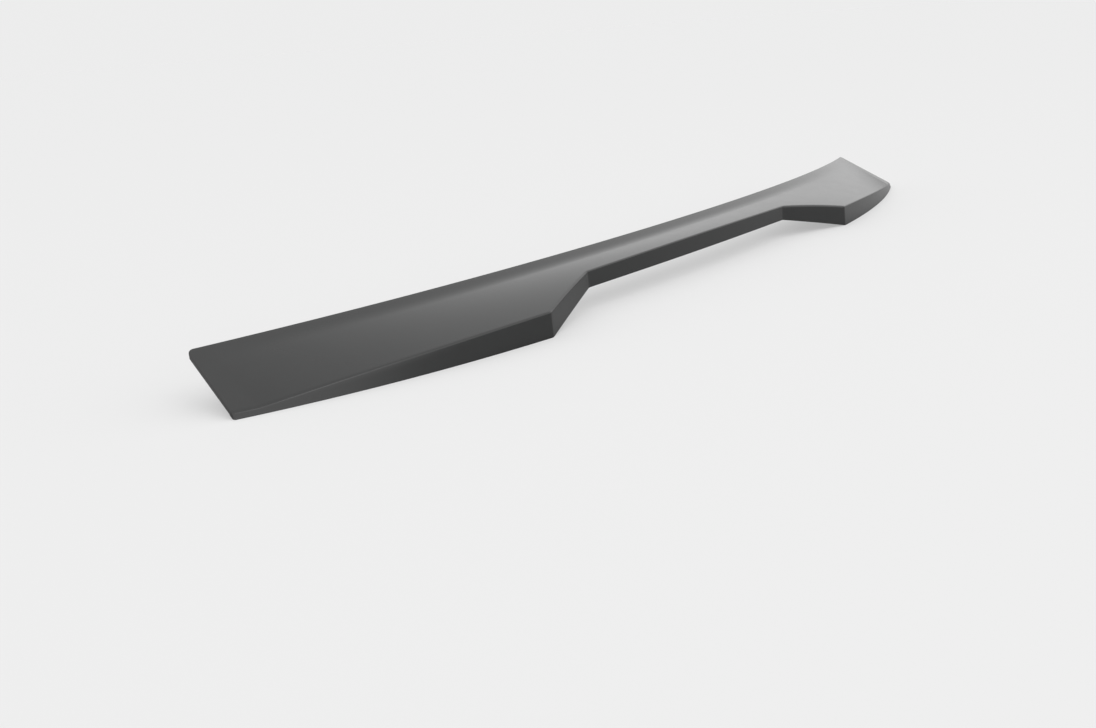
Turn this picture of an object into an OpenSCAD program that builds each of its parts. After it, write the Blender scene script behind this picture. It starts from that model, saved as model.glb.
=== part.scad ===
// Rear window cover: one thin moulded shell, curved both ways, that caps the upper part of a
// sloping rear window. A raised wing at each side drops to a rear lip and runs out thin at the
// tip; between the wings the back edge is notched. Millimetres, +Z up, +Y towards the front,
// +X to the right. It stands on the straight bottom edges of its two wings.

/* [Outline] */
// Half of the width between the two upper outer corners
half_span = 540; // [480:5:600]
// How much further out the lower outer corners lie than the upper ones
tip_flare = 13.5; // [6:0.5:20]
// How far the front edge is bowed back at the middle
front_bow = 71.8; // [60:0.2:84]
// Share of that bow that gathers near the ends
front_bow_late = 0.274; // [0.15:0.01:0.4]
// Radius of the upper outer corners
front_corner_r = 5.5; // [4:0.5:14]
// Radius of the lower outer corners
rear_corner_r = 1.5; // [1:0.5:4]

/* [Back edge] */
// Distance from the centre plane to the outer end of the notch
wing_x = 271.9; // [255:0.5:290]
// Distance from the centre plane to the inner end of the notch
strip_x = 179.7; // [165:0.5:195]
// Depth of the middle strip at the centre plane
strip_depth = 43.4; // [38:0.2:48]
// How much shallower the strip is at its ends
strip_bow = 5.2; // [2:0.2:8]
// Rounding of the two bends of the back edge
bend_soft = 0.4; // [0.2:0.1:2]

/* [Window surface] */
// Slope of the window surface from front to back, in degrees
glass_slope = 27.5; // [25:0.1:30]
// How far the window surface falls from the middle to the outer corners
side_drop = 43.6; // [38:0.2:48]
// Share of that fall that gathers near the ends
side_drop_late = 0.3; // [0.2:0.01:0.4]
// Height of the window surface at the middle of the front edge
front_height = 44.6; // [40:0.2:48]

/* [Shell] */
// Wall thickness
wall = 3.7; // [3:0.1:4.4]
// Width of the flat band along the front edge
band_w = 12.3; // [9:0.1:14]
// Half length of the hollow bend behind the band
bend_w = 5.1; // [4:0.1:8]
// Height that a full crown would gain above the window surface behind the band
crown_h = 23.6; // [20:0.1:26]
// Distance behind the band in which a full crown would gain it
crown_run = 93.6; // [86:0.2:104]
// How late the crown runs out towards the tips, 1 being evenly from the middle on
crown_late = 1.77; // [1.5:0.01:2.1]
// Lean of the strip's back face, in degrees
strip_lean = 1; // [0:0.1:4]
// Lean of the back face in the notch and at the wings' inner ends, in degrees
back_lean = 2.2; // [0:0.1:5]
// Lean of the back face at the tips, in degrees
tip_lean = 18.2; // [12:0.1:22]
// Rounding of the lip
lip_r = 2.4; // [1.6:0.1:4]
// Rounding of the lip in the notch
notch_lip_r = 3.6; // [1.6:0.1:4.5]

/* [Hidden] */
slope = tan(glass_slope);
edge_r = 0.12 * wall;

// The bow of a curve with part of it gathered near the ends, and the rounded choice of two lines
function ease(x, late) = let (t = x / half_span) (1 - late) * t * t + late * pow(t, 4);
function soft_max(a, b) = (a + b + sqrt((a - b) * (a - b) + bend_soft * bend_soft)) / 2;
function soft_min(a, b) = -soft_max(-a, -b);

// The window surface, and the line where it meets the resting plane
function glass(x, y) = front_height + slope * y - side_drop * ease(x, side_drop_late);
function wing_curve(x) = (side_drop * ease(x, side_drop_late) - front_height) / slope;
function front_curve(x) = front_bow * ease(x, front_bow_late);

// How far along a wing x lies, and how far the back face leans there
function reach(x) = max(0, (abs(x) - wing_x) / (half_span - wing_x));
function lean(x) = tan(back_lean) + (tan(tip_lean) - tan(back_lean)) * reach(x);

// The three stretches of the back edge. The wall's inner face is the same rule moved in by t, and
// the lip is the same rule at the height up above the resting edge.
strip_end = strip_depth - strip_bow;
notch_k = (wing_curve(wing_x) + strip_end) / (wing_x - strip_x);
function strip_curve(x) = strip_bow * pow(x / strip_x, 2) - strip_depth;
function notch_curve(x) = notch_k * (abs(x) - strip_x) - strip_end;
function side_of(k) = sqrt(1 + k * k);
wing_k = (wing_curve(half_span) - wing_curve(wing_x)) / (half_span - wing_x);
function back(x, t = 0, up = 0) = soft_max(
    wing_curve(x) + t * side_of(wing_k) + lean(x) * up,
    soft_min(
        strip_curve(x) + t + tan(strip_lean) * up,
        notch_curve(x) + t * side_of(notch_k) + lean(x) * up
    )
);

// Height of the shell above the window surface, s being the distance behind the front edge
function past(s) =
    s < band_w - bend_w ? 0 :
    s < band_w + bend_w ? pow(s - band_w + bend_w, 2) / (4 * bend_w) :
    s - band_w;
function fade(x) = max(0.02, 1 - pow(abs(x) / half_span, crown_late));
function rise(x, y) =
    let (u = min(1, fade(x) * past(front_curve(x) - y) / crown_run))
    crown_h * (2 * u - u * u);
function under(x, y) = glass(x, y) + rise(x, y);
function top(x, y) = under(x, y) + wall;

// Size of the lip's rounding, which changes over the length lip_blend at both ends of the notch
lip_blend = 4;
function in_notch(x) = max(0, min(1, (abs(x) - strip_x) / lip_blend, (wing_x - abs(x)) / lip_blend));
function lip_cut(x) = 0.6 * (lip_r + (notch_lip_r - lip_r) * in_notch(x));

// Rounding of the outer corners in plan
function corner(x, r) = let (d = abs(x) - half_span + r) d > 0 ? r - sqrt(max(0, r * r - d * d)) : 0;
function front(x) = front_curve(x) - corner(x, front_corner_r);
function out_by(x) = sign(x) * tip_flare * pow(reach(x), 2);

// Stations from the centre plane to the tip, closer together at the bends and at the corners
function span(a, b, n) = [for (i = [0 : n - 1]) a + (b - a) * i / n];
half_stations = concat(
    span(0, strip_x - 3, 8),
    span(strip_x - 3, strip_x + 3, 6),
    span(strip_x + 3, wing_x - 4, 5),
    span(wing_x - 4, wing_x + 4, 8),
    span(wing_x + 4, half_span - front_corner_r, 15),
    [for (i = [0 : 7]) half_span - front_corner_r + front_corner_r * sin(i * 90 / 7)]
);
last = len(half_stations) - 1;
stations = concat(
    [for (i = [last : -1 : 1]) -half_stations[i]],
    half_stations
);

// Middle of the plan, which the points are measured from
y_mid = (max([for (x = half_stations) front(x)]) + min([for (x = half_stations) back(x)])) / 2;

// Points of one section: the upper rail from the front edge over the lip to the resting edge, and
// the lower rail that follows it on the inside
steps_band = 7;
steps_crown = 8;
function ahead(x, s_front, y_lip) = concat(
    [for (i = [1 : steps_band])
        s_front - (s_front - front_curve(x) + band_w + bend_w) * i / steps_band],
    [for (i = [1 : steps_crown]) let (a = front_curve(x) - band_w - bend_w)
        a + (y_lip - a) * i / steps_crown]
);
function rail_x(x, y, yb) = x + out_by(x) * (front_curve(x) - y) / (front_curve(x) - yb);
function at(x, y, yb, z) = [rail_x(x, y, yb), y - y_mid, z];
function section(x) = let (
    xr = x + out_by(x),
    y0 = front(x),
    yc = corner(x, rear_corner_r),
    yb = back(xr) + yc,
    zb = glass(xr, yb),
    y_near = back(xr, 0, top(xr, yb) - zb) + yc,
    yl = back(xr, 0, top(xr, y_near) - zb) + yc,
    zl = top(xr, yl),
    tilt = (yl - yb) / (zl - zb),
    cut = lip_cut(x),
    ya = yl + cut,
    yi = back(xr, wall) + yc,
    zi = glass(xr, yi),
    yk = back(xr, wall, under(xr, yi) - zi) + yc,
    zk = under(xr, yk),
    tilt_in = (yk - yi) / (zk - zi),
    ri = 0.4 * (zk - zi),
    ys = ahead(x, y0 - edge_r, ya),
    yn = ahead(x, y0 - edge_r, yk + ri),
    n = len(ys)
) concat(
    [at(x, y0, yb, top(x, y0) - edge_r)],
    [at(x, y0 - 0.3 * edge_r, yb, top(x, y0) - 0.3 * edge_r)],
    [at(x, y0 - edge_r, yb, top(x, y0 - edge_r))],
    [for (y = ys) at(x, y, yb, top(rail_x(x, y, yb), y))],
    [at(x, (ya + 3 * yl - tilt * cut) / 4, yb, (top(xr, ya) + 2 * zl + zl - cut) / 4)],
    [at(x, yl - tilt * cut, yb, zl - cut)],
    [at(x, yb, yb, zb)],
    [at(x, yi, yb, zi)],
    [at(x, yk - tilt_in * ri, yb, zk - ri)],
    [at(x, yk + 0.3 * ri, yb, zk - 0.3 * ri)],
    [for (i = [n - 1 : -1 : 0]) at(x, yn[i], yb, under(rail_x(x, yn[i], yb), yn[i]))],
    [at(x, y0 - edge_r, yb, under(x, y0 - edge_r))],
    [at(x, y0 - 0.3 * edge_r, yb, under(x, y0))],
    [at(x, y0, yb, under(x, y0))]
);

module window_cover() {
    rings = [for (x = stations) section(x)];
    m = len(rings[0]);
    k = len(rings);
    half = m / 2;
    sides = [for (j = [0 : k - 2], i = [0 : m - 1])
        let (a = j * m + i, b = j * m + (i + 1) % m, c = a + m, d = b + m)
        each j < (k - 1) / 2 ? [[a, c, b], [b, c, d]] : [[a, d, b], [a, c, d]]];
    left = [for (i = [0 : half - 2])
        let (a = i, b = i + 1, c = m - 1 - i, d = m - 2 - i)
        each [[a, b, c], [b, d, c]]];
    e = (k - 1) * m;
    right = [for (i = [0 : half - 2])
        let (a = e + i, b = e + i + 1, c = e + m - 1 - i, d = e + m - 2 - i)
        each [[a, c, b], [b, c, d]]];
    color([0.2, 0.2, 0.2])
        polyhedron(points = [for (r = rings) each r], faces = concat(sides, left, right), convexity = 6);
}

window_cover();
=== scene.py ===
import functools
import math

import bmesh
import bpy
from bpy.props import FloatProperty, FloatVectorProperty, IntProperty, PointerProperty
from bpy.types import Operator, Panel, PropertyGroup
from mathutils import Euler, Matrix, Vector


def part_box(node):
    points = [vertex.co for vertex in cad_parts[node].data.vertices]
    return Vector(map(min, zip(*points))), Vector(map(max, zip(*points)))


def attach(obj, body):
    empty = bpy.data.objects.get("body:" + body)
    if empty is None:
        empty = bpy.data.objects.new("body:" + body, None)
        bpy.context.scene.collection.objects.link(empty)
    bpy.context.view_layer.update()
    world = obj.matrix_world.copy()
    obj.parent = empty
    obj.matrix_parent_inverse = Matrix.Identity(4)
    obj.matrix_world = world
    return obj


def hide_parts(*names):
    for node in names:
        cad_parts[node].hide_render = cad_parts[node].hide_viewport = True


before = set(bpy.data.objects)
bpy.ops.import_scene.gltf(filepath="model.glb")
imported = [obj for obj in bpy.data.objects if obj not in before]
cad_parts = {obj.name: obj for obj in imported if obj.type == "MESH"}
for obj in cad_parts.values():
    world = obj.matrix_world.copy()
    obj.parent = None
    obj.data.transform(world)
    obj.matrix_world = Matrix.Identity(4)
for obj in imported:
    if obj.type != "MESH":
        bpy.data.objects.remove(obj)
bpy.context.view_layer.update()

bl_info = {
    "name": "Rear Window Cover",
    "version": (1, 0, 0),
    "blender": (4, 5, 0),
    "location": "3D View > Sidebar > Window Cover",
    "description": "Builds a moulded rear window cover from its edge curves in a plain studio",
    "category": "Add Mesh",
}

# Columns of one section, from the front edge over the lip to the resting edge, and the points all
# round it, where both rails have every column and the first point is there twice
FRONT_ARC = 5
TOP_END = FRONT_ARC + 46
LIP_END = TOP_END + 7
BACK_END = LIP_END + 4
COLUMNS = BACK_END + 1
ROUND = 2 * COLUMNS + 1
# Stations in the rounding of the upper outer corner, and shares of the others in each stretch of
# the half width: they stand closest at the bends, within a short reach to both sides
CORNER_STATIONS = 12
SPAN_SHARES = (0.26, 0.10, 0.12, 0.10, 0.42)
BEND_REACH = 0.004

# Rounding of the front edge and of the cut ends, as a share of the wall
EDGE_SHARE = 0.12
# How far the rounding of the lip reaches to both sides, as a share of its radius, and the length
# over which it changes at both ends of the notch
LIP_SHARE = 0.6
LIP_BLEND = 0.004
# Steps that find the lip on the leaning back face
LIP_STEPS = 2
# Share of the crown that is left at the tips
LEAST_CROWN = 0.02
# Points closer than this are one point, and edges bent more than this stay crisp
MERGE_DISTANCE = 0.000001
SHARP_ANGLE = math.radians(40)

# Gloss and relief of the plastic
PLASTIC_IOR = 1.46
RELIEF_STRENGTH = 0.22
RELIEF_DEPTH = 0.00006
# How many waves and patches the surface has to the metre
WAVES = 9.0
PATCHES = 55.0
# Shares of the grain and the waves in the relief
GRAIN_IN_RELIEF, WAVES_IN_RELIEF = 0.7, 0.3
# How far the waves, the patches and the grain change the roughness
WAVES_IN_GLOSS, PATCHES_IN_GLOSS, GRAIN_IN_GLOSS = 0.05, 0.05, 0.04
# How far the painted sheen reaches to both sides of the hollow bend, as a share of the bend's half
# length
SHEEN_REACH = 1.6
# Share of the lighter colour: as a painted sheen in the hollow bend, as random mottling, and all over
SHEEN_IN_BEND = 0.25
MOTTLE_SHARE = 0.5
TINT_ALL_OVER = 0.1

FLOOR_RADIUS = 14.0
FLOOR_SIDES = 96
FLOOR_ROUGHNESS = 0.9
# Height at which the dome of light begins to brighten and the height that this takes, and the same
# for its fading towards the zenith, on a dome of radius 1
DOME_START, DOME_REACH = 0.022, 0.175
ZENITH_START, ZENITH_REACH = 0.264, 0.8
# Where the soft box hangs, from the origin
BOX_DIRECTION = (-0.110, -0.735, 0.669)
BOX_DISTANCE = 3.0
SENSOR_WIDTH = 36.0
FAR_CLIP = 100.0


# Sizes and finishes that a user would change

def number(name, text, value, low=0.0, high=5.0):
    return FloatProperty(name=name, description=text, default=value, min=low, max=high)


def length(name, text, value, low=0.0, high=2.0):
    return FloatProperty(name=name, description=text, default=value, min=low, max=high,
                         precision=4, unit="LENGTH", subtype="DISTANCE")


def share(name, text, value):
    return FloatProperty(name=name, description=text, default=value, min=0.0, max=1.0,
                         subtype="FACTOR")


def turn(name, text, value):
    return FloatProperty(name=name, description=text, default=math.radians(value),
                         unit="ROTATION", subtype="ANGLE")


def tint(name, text, value):
    return FloatVectorProperty(name=name, description=text, default=value, min=0.0, max=1.0,
                               size=3, subtype="COLOR")


class CoverShape(PropertyGroup):
    """Sizes of the moulded shell, as the source has them."""
    half_span: length("Half span", "Half of the width between the upper outer corners", 0.540)
    tip_flare: length("Tip flare", "How much further out the lower outer corners lie", 0.0135)
    front_bow: length("Front bow", "How far the front edge is bowed back at the middle", 0.0718)
    front_late: share("Front bow near ends", "Share of the front bow that gathers near the ends", 0.274)
    front_corner: length("Upper corner radius", "Radius of the upper outer corners", 0.0055)
    rear_corner: length("Lower corner radius", "Radius of the lower outer corners", 0.0015)
    wing_x: length("Wing start", "From the centre plane to the outer end of the notch", 0.2719)
    strip_x: length("Strip end", "From the centre plane to the inner end of the notch", 0.1797)
    strip_depth: length("Strip depth", "Depth of the middle strip at the centre plane", 0.0434)
    strip_bow: length("Strip bow", "How much shallower the strip is at its ends", 0.0052)
    bend_soft: length("Bend softness", "Rounding of the bends of the back edge", 0.0004)
    glass_slope: turn("Window slope", "Slope of the window surface from front to back", 27.5)
    side_drop: length("Side drop", "How far the window surface falls to the outer corners", 0.0436)
    side_late: share("Side drop near ends", "Share of that fall that gathers near the ends", 0.3)
    front_height: length("Front height", "Height of the window surface at the front edge's middle",
                         0.0446)
    wall: length("Wall", "Wall thickness", 0.0037)
    band_w: length("Band width", "Width of the flat band along the front edge", 0.0123)
    bend_w: length("Hollow bend", "Half length of the hollow bend behind the band", 0.0051)
    crown_h: length("Crown height", "Height that a full crown would gain behind the band", 0.0236)
    crown_run: length("Crown run", "Distance in which a full crown would gain it", 0.0936)
    crown_late: number("Crown runs out late", "How late the crown runs out towards the tips",
                       1.77, 1.0, 4.0)
    strip_lean: turn("Strip lean", "Lean of the strip's back face", 1.0)
    back_lean: turn("Back lean", "Lean of the back face in the notch and at the wings' inner ends", 2.2)
    tip_lean: turn("Tip lean", "Lean of the back face at the tips", 18.2)
    lip_r: length("Lip radius", "Rounding of the lip", 0.0024)
    notch_lip_r: length("Notch lip radius", "Rounding of the lip in the notch", 0.0036)
    stations: IntProperty(name="Stations", description="Sections from the middle to one tip",
                          default=280, min=40, max=400)


class CoverFinish(PropertyGroup):
    """Colour and surface of the moulded plastic."""
    plastic: tint("Plastic", "Colour of the plastic", (0.0185, 0.0190, 0.0190))
    # Lighter colour that paints a sheen along the hollow bend and tints the random mottle all over
    sheen_and_mottle: tint("Haze", "Colour of the faint film that settles in the hollow bend", (0.030, 0.031, 0.030))
    roughness: share("Roughness", "Roughness of the satin surface", 0.22)
    grain: length("Grain size", "Size of the fine moulded grain", 0.0007, 0.0001, 0.01)


class CoverStage(PropertyGroup):
    """Camera, floor and light."""
    floor: tint("Floor", "Colour of the floor", (0.35, 0.35, 0.35))
    floor_glow: tint("Floor glow", "Light of its own that the floor shows to the camera",
                     (0.372, 0.372, 0.372))
    floor_dim: tint("Floor in reflections", "Colour that the floor has where it is mirrored",
                    (0.40, 0.40, 0.40))
    backdrop: tint("Backdrop", "Colour behind the floor", (0.843, 0.843, 0.843))
    dome: number("Dome", "Brightness of the soft light from above", 1.56)
    rim: number("Rim", "Brightness of the surround at floor level", 0.42)
    front_fall: share("Fall towards the front", "How much weaker the dome is towards the front", 0.19)
    zenith_fall: share("Fall towards the zenith", "How much weaker the dome is straight above", 0.24)
    box_light: number("Soft box", "Brightness of the soft box at the back", 2.0, 0.0, 20.0)
    box_size: length("Soft box size", "Width and height of the soft box", 0.90)
    place: FloatVectorProperty(name="Camera place", description="Where the camera stands", size=3,
                               default=(-1.06357, -0.74162, 0.27153), unit="LENGTH",
                               subtype="TRANSLATION")
    aim: FloatVectorProperty(name="Camera turn", description="How the camera is turned", size=3,
                             default=(1.293370, 0.076086, -0.882214), unit="ROTATION",
                             subtype="EULER")
    lens: FloatProperty(name="Lens", description="Focal length for a 36 mm wide picture",
                        default=41.058, min=10.0, max=200.0, unit="CAMERA")


# Arithmetic written into a node tree

class Wire:
    """A number in a node tree; each operator on it adds one Math node."""

    def __init__(self, tree, socket):
        self.tree = tree
        self.socket = socket

    def __add__(self, other):
        return calc("ADD", self, other)

    def __radd__(self, other):
        return calc("ADD", other, self)

    def __sub__(self, other):
        return calc("SUBTRACT", self, other)

    def __rsub__(self, other):
        return calc("SUBTRACT", other, self)

    def __mul__(self, other):
        return calc("MULTIPLY", self, other)

    def __rmul__(self, other):
        return calc("MULTIPLY", other, self)

    def __truediv__(self, other):
        return calc("DIVIDE", self, other)

    def __rtruediv__(self, other):
        return calc("DIVIDE", other, self)

    def __neg__(self):
        return calc("MULTIPLY", self, -1.0)


def calc(operation, *terms):
    """Adds one Math node whose inputs are wires or plain numbers."""
    tree = next(term.tree for term in terms if isinstance(term, Wire))
    node = tree.nodes.new("ShaderNodeMath")
    node.operation = operation
    node.hide = True
    node.location = (180 * (len(tree.nodes) % 40), -60 * (len(tree.nodes) // 40))
    for slot, term in zip(node.inputs, terms):
        if isinstance(term, Wire):
            tree.links.new(term.socket, slot)
        else:
            slot.default_value = term
    return Wire(tree, node.outputs[0])


def less(a, b):
    return calc("LESS_THAN", a, b)


def at_least(a, low):
    return calc("MAXIMUM", a, low)


def clamp01(a):
    return calc("MINIMUM", at_least(a, 0.0), 1.0)


@functools.cache
def absolute(a):
    return calc("ABSOLUTE", a)


def mix(a, b, t):
    return a + (b - a) * t


def choose(test, yes, no):
    """yes where test is 1 and no where it is 0."""
    return mix(no, yes, test)


def ease_in_out(t):
    c = clamp01(t)
    return c * c * (3.0 - 2.0 * c)


def bend(a, b, c, t):
    """Smooth bend from a to c that is drawn towards b."""
    return (1.0 - t) * (1.0 - t) * a + 2.0 * t * (1.0 - t) * b + t * t * c


def part_way(column, first, last):
    """How far a column lies from the first to the last one, from 0 to 1."""
    return clamp01((column - float(first)) / float(last - first))


# The shell's rule, in the same steps as the source

class CoverRule:
    """The curves and heights of the shell. A curve is written into the tree once for each place."""

    def __init__(self, size):
        self.s = size
        self.slope = calc("TANGENT", size["glass_slope"])
        self.edge = EDGE_SHARE * size["wall"]
        self.strip_tilt = calc("TANGENT", size["strip_lean"])
        self.back_tilt = calc("TANGENT", size["back_lean"])
        self.tip_tilt = calc("TANGENT", size["tip_lean"])

        start = self.wing_curve(size["wing_x"])
        self.strip_end = size["strip_depth"] - size["strip_bow"]
        self.notch_k = (start + self.strip_end) / (size["wing_x"] - size["strip_x"])
        wing_k = (self.wing_curve(size["half_span"]) - start) / (size["half_span"] - size["wing_x"])
        self.notch_side = calc("SQRT", 1.0 + self.notch_k * self.notch_k)
        self.wing_side = calc("SQRT", 1.0 + wing_k * wing_k)

    def ease(self, x, late):
        """Bow of a curve with a share of it gathered near the ends."""
        t = x / self.s["half_span"]
        squared = t * t
        return (1.0 - late) * squared + late * squared * squared

    def soft_max(self, a, b):
        gap = a - b
        soft = self.s["bend_soft"]
        return (a + b + calc("SQRT", gap * gap + soft * soft)) * 0.5

    def soft_min(self, a, b):
        return -self.soft_max(-a, -b)

    @functools.cache
    def fall(self, x):
        """How far the window surface has fallen at x from its height at the middle."""
        return self.s["side_drop"] * self.ease(x, self.s["side_late"])

    def glass(self, x, y):
        return self.s["front_height"] + self.slope * y - self.fall(x)

    @functools.cache
    def wing_curve(self, x):
        return (self.fall(x) - self.s["front_height"]) / self.slope

    @functools.cache
    def front_curve(self, x):
        return self.s["front_bow"] * self.ease(x, self.s["front_late"])

    @functools.cache
    def reach(self, x):
        """How far along a wing x lies, from 0 at its inner end to 1 at the tip."""
        s = self.s
        return at_least((absolute(x) - s["wing_x"]) / (s["half_span"] - s["wing_x"]), 0.0)

    @functools.cache
    def lean(self, x):
        return mix(self.back_tilt, self.tip_tilt, self.reach(x))

    @functools.cache
    def back_lines(self, x):
        """The lines of the strip, the notch and the wing on the resting edge."""
        s = self.s
        ratio = x / s["strip_x"]
        strip = s["strip_bow"] * ratio * ratio - s["strip_depth"]
        notch = self.notch_k * (absolute(x) - s["strip_x"]) - self.strip_end
        return strip, notch, self.wing_curve(x)

    def back(self, x, inset=0.0, up=0.0):
        """Back edge, moved in by an inset and at a height above the resting edge."""
        strip, notch, wing = self.back_lines(x)
        lean = self.lean(x) * up
        strip = strip + inset + self.strip_tilt * up
        notch = notch + inset * self.notch_side + lean
        wing = wing + inset * self.wing_side + lean
        return self.soft_max(wing, self.soft_min(strip, notch))

    def past(self, behind):
        """Distance past the hollow bend, from nothing on the band, at a distance behind the front."""
        s = self.s
        into = at_least(behind - s["band_w"] + s["bend_w"], 0.0)
        curved = into * into / (4.0 * s["bend_w"])
        return choose(less(behind, s["band_w"] + s["bend_w"]), curved, behind - s["band_w"])

    @functools.cache
    def fade(self, x):
        """Share of the full crown at x."""
        lost = calc("POWER", absolute(x) / self.s["half_span"], self.s["crown_late"])
        return at_least(1.0 - lost, LEAST_CROWN)

    def under(self, x, y):
        u = self.fade(x) * self.past(self.front_curve(x) - y) / self.s["crown_run"]
        u = calc("MINIMUM", u, 1.0)
        return self.glass(x, y) + self.s["crown_h"] * (2.0 * u - u * u)

    def top(self, x, y):
        return self.under(x, y) + self.s["wall"]

    def lip_cut(self, x):
        """How far the lip's rounding reaches to both sides at x."""
        s = self.s
        within = calc("MINIMUM", absolute(x) - s["strip_x"], s["wing_x"] - absolute(x))
        return LIP_SHARE * mix(s["lip_r"], s["notch_lip_r"], clamp01(within / LIP_BLEND))

    def corner(self, x, radius):
        """How far the rounding of an outer corner has moved the edge in at x."""
        d = at_least(absolute(x) - self.s["half_span"] + radius, 0.0)
        return radius - calc("SQRT", at_least(radius * radius - d * d, 0.0))


class Section:
    """Landmarks of the section that starts at x on the front edge."""

    def __init__(self, rule, x):
        s = rule.s
        reach = rule.reach(x)
        rear_cut = rule.corner(x, s["rear_corner"])
        self.rule = rule
        self.x = x
        self.out = calc("SIGN", x) * s["tip_flare"] * reach * reach
        x_tip = x + self.out

        self.front = rule.front_curve(x)
        self.y_front = self.front - rule.corner(x, s["front_corner"])

        self.y_back = rule.back(x_tip) + rear_cut
        self.z_back = rule.glass(x_tip, self.y_back)
        self.y_lip = self.y_back
        for _ in range(LIP_STEPS):
            up = rule.top(x_tip, self.y_lip) - self.z_back
            self.y_lip = rule.back(x_tip, up=up) + rear_cut
        self.z_lip = rule.top(x_tip, self.y_lip)

        tilt = (self.y_lip - self.y_back) / (self.z_lip - self.z_back)
        cut = rule.lip_cut(x)
        self.y_soft = self.y_lip + cut
        self.z_soft = rule.top(x_tip, self.y_soft)
        self.y_face = self.y_lip - tilt * cut
        self.z_face = self.z_lip - cut

        self.y_foot = rule.back(x_tip, s["wall"]) + rear_cut
        self.z_foot = rule.glass(x_tip, self.y_foot)
        up = rule.under(x_tip, self.y_foot) - self.z_foot
        self.y_nook = rule.back(x_tip, s["wall"], up) + rear_cut
        self.z_nook = rule.under(x_tip, self.y_nook)

    def flared(self, y):
        """Place across the width at y: the sections of the wings fan out towards the back."""
        return self.x + self.out * (self.front - y) / (self.front - self.y_back)

    def end_drop(self):
        """How far the rounding of the cut end lowers the top."""
        edge = self.rule.edge
        short = at_least(edge - (self.rule.s["half_span"] - absolute(self.x)), 0.0)
        return edge - calc("SQRT", at_least(edge * edge - short * short, 0.0))

    def rails(self, column):
        """The point of a column on the outer rail and on the inner one."""
        rule = self.rule
        arc = calc("MINIMUM", column / float(FRONT_ARC), 1.0) * (math.pi / 2)
        over = part_way(column, FRONT_ARC, TOP_END)
        round_lip = part_way(column, TOP_END, LIP_END)
        below = part_way(column, FRONT_ARC, LIP_END)
        down = part_way(column, LIP_END, BACK_END)
        on_arc = less(column, FRONT_ARC + 0.5)
        on_top = less(column, TOP_END + 0.5)
        on_lip = less(column, LIP_END + 0.5)

        y_arc = self.y_front - rule.edge * (1.0 - calc("COSINE", arc))
        y_skin = choose(on_arc, y_arc, mix(self.y_front - rule.edge, self.y_soft, over))
        y_bend = bend(self.y_soft, self.y_lip, self.y_face, round_lip)
        z_bend = bend(self.z_soft, self.z_lip, self.z_face, round_lip)
        y_outer = choose(on_top, y_skin,
                         choose(on_lip, y_bend, mix(self.y_face, self.y_back, down)))
        x_outer = self.flared(y_outer)
        z_skin = rule.top(x_outer, y_outer) - rule.edge * (1.0 - calc("SINE", arc))
        z_outer = choose(on_top, z_skin,
                         choose(on_lip, z_bend, mix(self.z_face, self.z_back, down)))
        z_outer = z_outer - self.end_drop() * (1.0 - down)

        y_lining = mix(self.y_front - rule.edge, self.y_nook, below)
        y_inner = choose(on_arc, y_arc,
                         choose(on_lip, y_lining, mix(self.y_nook, self.y_foot, down)))
        x_inner = self.flared(y_inner)
        z_inner = choose(on_lip, rule.under(x_inner, y_inner),
                         mix(self.z_nook, self.z_foot, down))
        return (x_outer, y_outer, z_outer), (x_inner, y_inner, z_inner)


def across_width(size, step):
    """Place across the width of a station, counted from the middle."""
    s = size
    count = calc("MINIMUM", absolute(step), s["stations"])
    plain = s["stations"] - float(CORNER_STATIONS)
    bent = at_least(count - plain, 0.0) * (math.pi / 2 / CORNER_STATIONS)
    stops = (0.0, s["strip_x"] - BEND_REACH, s["strip_x"] + BEND_REACH,
             s["wing_x"] - BEND_REACH, s["wing_x"] + BEND_REACH, s["half_span"] - s["front_corner"])
    place = s["front_corner"] * calc("SINE", bent)
    done = 0.0
    for part, a, b in zip(SPAN_SHARES, stops, stops[1:]):
        place = place + (b - a) * clamp01((count / plain - done) / part)
        done += part
    return calc("SIGN", step) * place


def shape_inputs(tree):
    """An input of the tree for each size of the shell, under the names of CoverShape."""
    given = tree.nodes.new("NodeGroupInput")
    size = {}
    for key, prop in CoverShape.bl_rna.properties.items():
        if key in CoverShape.__annotations__:
            kind = "NodeSocketInt" if prop.type == "INT" else "NodeSocketFloat"
            socket = tree.interface.new_socket(prop.name, in_out="INPUT", socket_type=kind)
            socket.default_value = prop.default
            size[key] = Wire(tree, given.outputs[prop.name])
    return size


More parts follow.
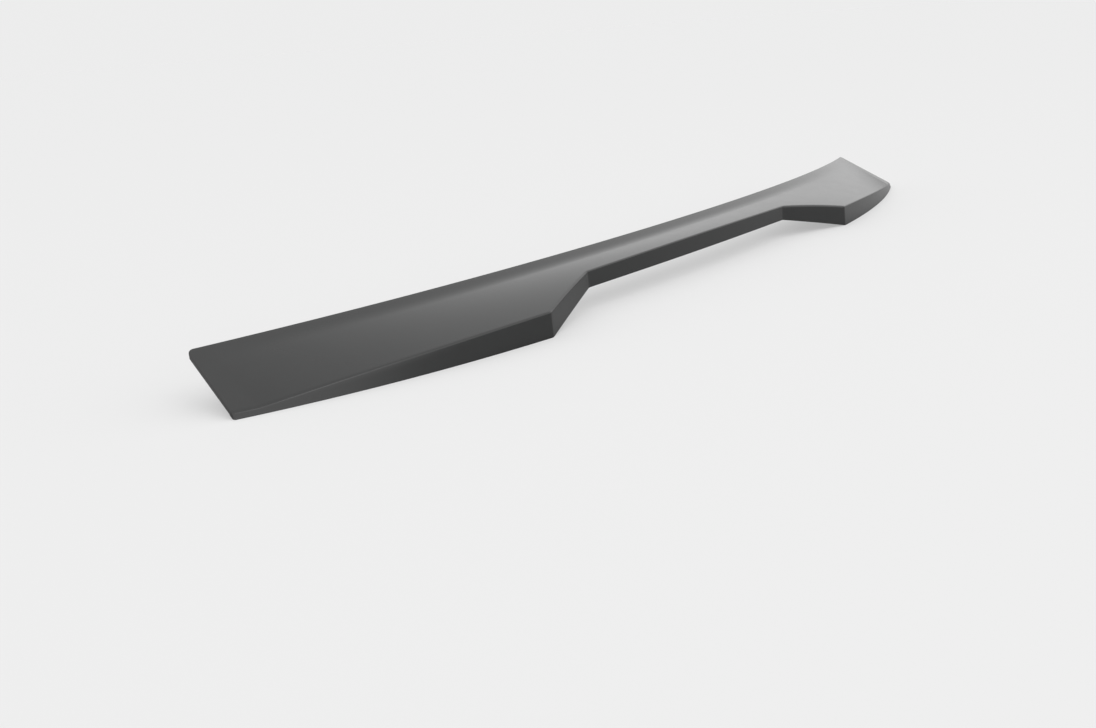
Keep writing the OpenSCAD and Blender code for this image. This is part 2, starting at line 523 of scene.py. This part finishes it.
def cover_tree(material):
    """Node tree of the closed shell: one grid, wrapped round each section and shut at the tips."""
    tree = bpy.data.node_groups.new("Window cover shell", "GeometryNodeTree")
    tree.interface.new_socket("Mesh", in_out="OUTPUT", socket_type="NodeSocketGeometry")
    size = shape_inputs(tree)
    rule = CoverRule(size)

    grid = tree.nodes.new("GeometryNodeMeshGrid")
    tree.links.new((2.0 * size["stations"] + 3.0).socket, grid.inputs["Vertices X"])
    grid.inputs["Vertices Y"].default_value = ROUND
    index = Wire(tree, tree.nodes.new("GeometryNodeInputIndex").outputs[0])
    station = calc("FLOOR", (index + 0.5) / float(ROUND))
    place = index - station * float(ROUND)
    step = station - size["stations"] - 1.0

    # Which rail the point is on, and which column of it
    inner = less(COLUMNS - 0.5, place) * less(place, 2 * COLUMNS - 0.5)
    wrapped = choose(less(2 * COLUMNS - 0.5, place), 0.0, place)
    column = choose(inner, (2 * COLUMNS - 1.0) - wrapped, wrapped)

    # The last station at each tip closes both rails on the line half way between them
    section = Section(rule, across_width(size, step))
    rail = choose(less(size["stations"] + 0.5, absolute(step)), 0.5, inner)
    x, y, z = (mix(outer, lining, rail) for outer, lining in zip(*section.rails(column)))
    point = tree.nodes.new("ShaderNodeCombineXYZ")
    for value, slot in zip((x, y, z), point.inputs):
        tree.links.new(value.socket, slot)
    moved = tree.nodes.new("GeometryNodeSetPosition")
    tree.links.new(point.outputs[0], moved.inputs["Position"])

    # How far a point lies inside the hollow bend, kept for the finish, which paints a sheen there
    off = absolute(section.front - y - size["band_w"])
    hollow = 1.0 - clamp01(off / (SHEEN_REACH * size["bend_w"]))
    hollow = hollow * (1.0 - inner) * rule.fade(section.x)
    kept = tree.nodes.new("GeometryNodeStoreNamedAttribute")
    kept.data_type = "FLOAT"
    kept.domain = "POINT"
    kept.inputs["Name"].default_value = "hollow"
    tree.links.new(hollow.socket, kept.inputs["Value"])

    merged = tree.nodes.new("GeometryNodeMergeByDistance")
    merged.inputs["Distance"].default_value = MERGE_DISTANCE
    real = tree.nodes.new("GeometryNodeRealizeInstances")
    painted = tree.nodes.new("GeometryNodeSetMaterial")
    painted.inputs["Material"].default_value = material
    done = tree.nodes.new("NodeGroupOutput")
    chain = (grid, moved, kept, merged, real, painted, done)
    for source, target in zip(chain, chain[1:]):
        tree.links.new(source.outputs[0], target.inputs[0])
    return tree


# Finish of the plastic

def mixed_colour(tree, amount, first, second):
    """Colour output that runs from the first colour to the second; each may be an output itself."""
    mixer = tree.nodes.new("ShaderNodeMix")
    mixer.data_type = "RGBA"
    slots = {slot.identifier: slot for slot in (*mixer.inputs, *mixer.outputs)}
    tree.links.new(amount, slots["Factor_Float"])
    for name, colour in (("A_Color", first), ("B_Color", second)):
        if isinstance(colour, bpy.types.NodeSocket):
            tree.links.new(colour, slots[name])
        else:
            slots[name].default_value = (*colour, 1.0)
    return slots["Result_Color"]


def grain_group():
    """Height, roughness and tone of a fine moulded grain with a slow unevenness under it."""
    group = bpy.data.node_groups.new("Moulded grain", "ShaderNodeTree")
    face = group.interface
    face.new_socket("Position", in_out="INPUT", socket_type="NodeSocketVector")
    for name in ("Grain size", "Roughness"):
        face.new_socket(name, in_out="INPUT", socket_type="NodeSocketFloat")
    for name in ("Height", "Roughness", "Tone"):
        face.new_socket(name, in_out="OUTPUT", socket_type="NodeSocketFloat")
    given = group.nodes.new("NodeGroupInput")
    done = group.nodes.new("NodeGroupOutput")

    def noise(scale, detail, rough):
        node = group.nodes.new("ShaderNodeTexNoise")
        node.inputs["Detail"].default_value = detail
        node.inputs["Roughness"].default_value = rough
        group.links.new(given.outputs["Position"], node.inputs["Vector"])
        if isinstance(scale, Wire):
            group.links.new(scale.socket, node.inputs["Scale"])
        else:
            node.inputs["Scale"].default_value = scale
        return Wire(group, node.outputs["Fac"])

    fine = noise(1.0 / Wire(group, given.outputs["Grain size"]), 2.0, 0.55)
    slow = noise(WAVES, 2.0, 0.5)
    patch = noise(PATCHES, 4.0, 0.6)
    height = fine * GRAIN_IN_RELIEF + slow * WAVES_IN_RELIEF
    rough = Wire(group, given.outputs["Roughness"]) + (slow - 0.5) * WAVES_IN_GLOSS
    rough = rough + (patch - 0.5) * PATCHES_IN_GLOSS + (fine - 0.5) * GRAIN_IN_GLOSS
    tone = mix(patch, fine, 0.5)
    for value, name in ((height, "Height"), (rough, "Roughness"), (tone, "Tone")):
        group.links.new(value.socket, done.inputs[name])
    return group


def satin_plastic(finish):
    """Dark satin plastic with a fine grain, a random mottle and a painted sheen along the hollow bend.
    """
    material = bpy.data.materials.new("Satin dark plastic")
    material.use_nodes = True
    tree = material.node_tree
    shader = tree.nodes["Principled BSDF"]
    shader.inputs["IOR"].default_value = PLASTIC_IOR
    coords = tree.nodes.new("ShaderNodeTexCoord")
    grain = tree.nodes.new("ShaderNodeGroup")
    grain.node_tree = grain_group()
    grain.inputs["Grain size"].default_value = finish.grain
    grain.inputs["Roughness"].default_value = finish.roughness
    tree.links.new(coords.outputs["Object"], grain.inputs["Position"])
    tree.links.new(grain.outputs["Roughness"], shader.inputs["Roughness"])

    relief = tree.nodes.new("ShaderNodeBump")
    relief.inputs["Strength"].default_value = RELIEF_STRENGTH
    relief.inputs["Distance"].default_value = RELIEF_DEPTH
    tree.links.new(grain.outputs["Height"], relief.inputs["Height"])
    tree.links.new(relief.outputs["Normal"], shader.inputs["Normal"])

    # Painted sheen: the base colour turns lighter along the hollow bend, besides the random mottle from
    # the grain's tone
    hollow = tree.nodes.new("ShaderNodeAttribute")
    hollow.attribute_name = "hollow"
    mottle = Wire(tree, grain.outputs["Tone"]) - 0.5
    amount = Wire(tree, hollow.outputs["Fac"]) * SHEEN_IN_BEND + mottle * MOTTLE_SHARE + TINT_ALL_OVER
    colour = mixed_colour(tree, clamp01(amount).socket, finish.plastic, finish.sheen_and_mottle)
    tree.links.new(colour, shader.inputs["Base Color"])
    return material


# The steps that build the scene

def settle(obj):
    """Turns what the modifiers make into a plain mesh and takes the modifiers off."""
    depsgraph = bpy.context.evaluated_depsgraph_get()
    mesh = bpy.data.meshes.new_from_object(obj.evaluated_get(depsgraph),
                                           preserve_all_data_layers=True, depsgraph=depsgraph)
    obj.modifiers.clear()
    obj.data = mesh
    mesh.name = obj.name


def seat(mesh, low, high):
    """Centres the mesh between two corners from front to back, and turns its faces outwards."""
    ys = [v.co.y for v in mesh.vertices]
    shift = (low[1] + high[1]) / 2 - (min(ys) + max(ys)) / 2
    work = bmesh.new()
    work.from_mesh(mesh)
    for vert in work.verts:
        vert.co.y += shift
    bmesh.ops.recalc_face_normals(work, faces=work.faces)
    for face in work.faces:
        face.smooth = True
    loose = sum(1 for edge in work.edges if len(edge.link_faces) != 2)
    work.to_mesh(mesh)
    work.free()
    if loose:
        raise RuntimeError(f"the shell has {loose} edges that don't join two faces")
    mesh.set_sharp_from_angle(angle=SHARP_ANGLE)


class COVER_OT_shell(Operator):
    """Make the moulded shell from its edge curves"""
    bl_idname = "cover.shell"
    bl_label = "Moulded Shell"

    def execute(self, context):
        shape = context.scene.cover_shape
        shell = bpy.data.objects.new("cover_shell", bpy.data.meshes.new("cover_shell"))
        context.scene.collection.objects.link(shell)
        tree = cover_tree(satin_plastic(context.scene.cover_finish))
        modifier = shell.modifiers.new("Shell", "NODES")
        modifier.node_group = tree
        labels = {CoverShape.bl_rna.properties[key].name: key for key in CoverShape.__annotations__}
        for item in tree.interface.items_tree:
            if item.item_type == "SOCKET" and item.in_out == "INPUT":
                modifier[item.identifier] = getattr(shape, labels[item.name])
        context.view_layer.update()
        settle(shell)
        if not shell.data.vertices:
            raise RuntimeError("the shell's node tree made no mesh")

        low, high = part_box("window_cover")
        seat(shell.data, low, high)
        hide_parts("window_cover")
        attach(shell, "root")
        return {"FINISHED"}


def seen_by_camera(tree, mirrored, seen):
    """Colour that is seen in the picture itself, and another wherever light is mirrored or lent."""
    path = tree.nodes.new("ShaderNodeLightPath")
    return mixed_colour(tree, path.outputs["Is Camera Ray"], mirrored, seen)


def lay_floor(scene, stage):
    """Round floor that shows the camera some light of its own, so that shadows on it stay faint."""
    angles = [math.tau * i / FLOOR_SIDES for i in range(FLOOR_SIDES)]
    rim = [(FLOOR_RADIUS * math.cos(a), FLOOR_RADIUS * math.sin(a), 0.0) for a in angles]
    mesh = bpy.data.meshes.new("floor")
    mesh.from_pydata(rim, [], [tuple(range(FLOOR_SIDES))])
    paint = bpy.data.materials.new("Floor paint")
    paint.use_nodes = True
    tree = paint.node_tree
    shader = tree.nodes["Principled BSDF"]
    shader.inputs["Roughness"].default_value = FLOOR_ROUGHNESS
    shader.inputs["Specular IOR Level"].default_value = 0.0
    shader.inputs["Emission Strength"].default_value = 1.0
    tree.links.new(seen_by_camera(tree, stage.floor_dim, stage.floor), shader.inputs["Base Color"])
    glow = seen_by_camera(tree, (0.0, 0.0, 0.0), stage.floor_glow)
    tree.links.new(glow, shader.inputs["Emission Color"])
    mesh.materials.append(paint)
    floor = bpy.data.objects.new("floor", mesh)
    scene.collection.objects.link(floor)


def dome_light(tree, stage):
    """Soft light that grows from the rim to the dome and is weaker to the front and straight above."""
    coords = tree.nodes.new("ShaderNodeTexCoord")
    split = tree.nodes.new("ShaderNodeSeparateXYZ")
    tree.links.new(coords.outputs["Generated"], split.inputs[0])
    forward = Wire(tree, split.outputs["Y"])
    height = Wire(tree, split.outputs["Z"])
    risen = ease_in_out((height - DOME_START) / DOME_REACH)
    overhead = ease_in_out((height - ZENITH_START) / ZENITH_REACH)
    above = (1.0 - stage.front_fall * forward) * stage.dome * (1.0 - stage.zenith_fall * overhead)
    level = mix(stage.rim, above, risen)
    grey = tree.nodes.new("ShaderNodeCombineColor")
    for slot in grey.inputs:
        tree.links.new(level.socket, slot)
    return grey.outputs[0]


def light_world(scene, stage):
    """Plain backdrop for the camera and the soft dome for everything else."""
    world = bpy.data.worlds.new("Soft surround")
    world.use_nodes = True
    tree = world.node_tree
    seen = seen_by_camera(tree, dome_light(tree, stage), stage.backdrop)
    tree.links.new(seen, tree.nodes["Background"].inputs["Color"])
    scene.world = world
    scene.view_settings.view_transform = "Standard"


def hang_soft_box(scene, stage):
    """Soft box at the back that draws the light line along the lip."""
    lamp = bpy.data.lights.new("soft box", "AREA")
    lamp.size = stage.box_size
    lamp.energy = math.pi * stage.box_light * stage.box_size ** 2
    box = bpy.data.objects.new("soft box", lamp)
    box.location = [BOX_DISTANCE * part for part in BOX_DIRECTION]
    box.rotation_euler = Vector(BOX_DIRECTION).to_track_quat("Z", "Y").to_euler()
    box.visible_camera = False
    scene.collection.objects.link(box)


def set_camera(scene, stage):
    """Camera at the photograph's viewing angle."""
    camera = bpy.data.objects.new("camera", bpy.data.cameras.new("camera"))
    camera.data.lens = stage.lens
    camera.data.sensor_width = SENSOR_WIDTH
    camera.data.clip_end = FAR_CLIP
    camera.location = stage.place
    camera.rotation_euler = Euler(stage.aim, "XYZ")
    scene.collection.objects.link(camera)
    scene.camera = camera


class COVER_OT_stage(Operator):
    """Lay the pale floor and set the camera and the soft light"""
    bl_idname = "cover.stage"
    bl_label = "Stage"

    def execute(self, context):
        scene = context.scene
        for part in (lay_floor, light_world, hang_soft_box, set_camera):
            part(scene, scene.cover_stage)
        return {"FINISHED"}


class COVER_PT_sidebar(Panel):
    """Sizes, finish and steps of the window cover"""
    bl_idname = "COVER_PT_sidebar"
    bl_label = "Window Cover"
    bl_space_type = "VIEW_3D"
    bl_region_type = "UI"
    bl_category = "Window Cover"

    def draw(self, context):
        for name in GROUPS:
            group = getattr(context.scene, name)
            box = self.layout.box()
            for key in group.__annotations__:
                box.prop(group, key)
        for step in STEPS:
            self.layout.operator(step.bl_idname)


STEPS = (COVER_OT_shell, COVER_OT_stage)
GROUPS = {"cover_shape": CoverShape, "cover_finish": CoverFinish, "cover_stage": CoverStage}


def register():
    for cls in (*GROUPS.values(), *STEPS, COVER_PT_sidebar):
        bpy.utils.register_class(cls)
    for name, cls in GROUPS.items():
        setattr(bpy.types.Scene, name, PointerProperty(type=cls))


def unregister():
    for name in GROUPS:
        delattr(bpy.types.Scene, name)
    for cls in (COVER_PT_sidebar, *reversed(STEPS), *reversed(list(GROUPS.values()))):
        bpy.utils.unregister_class(cls)


def main():
    register()
    bpy.ops.cover.shell()
    bpy.ops.cover.stage()


if __name__ == "__main__":
    main()
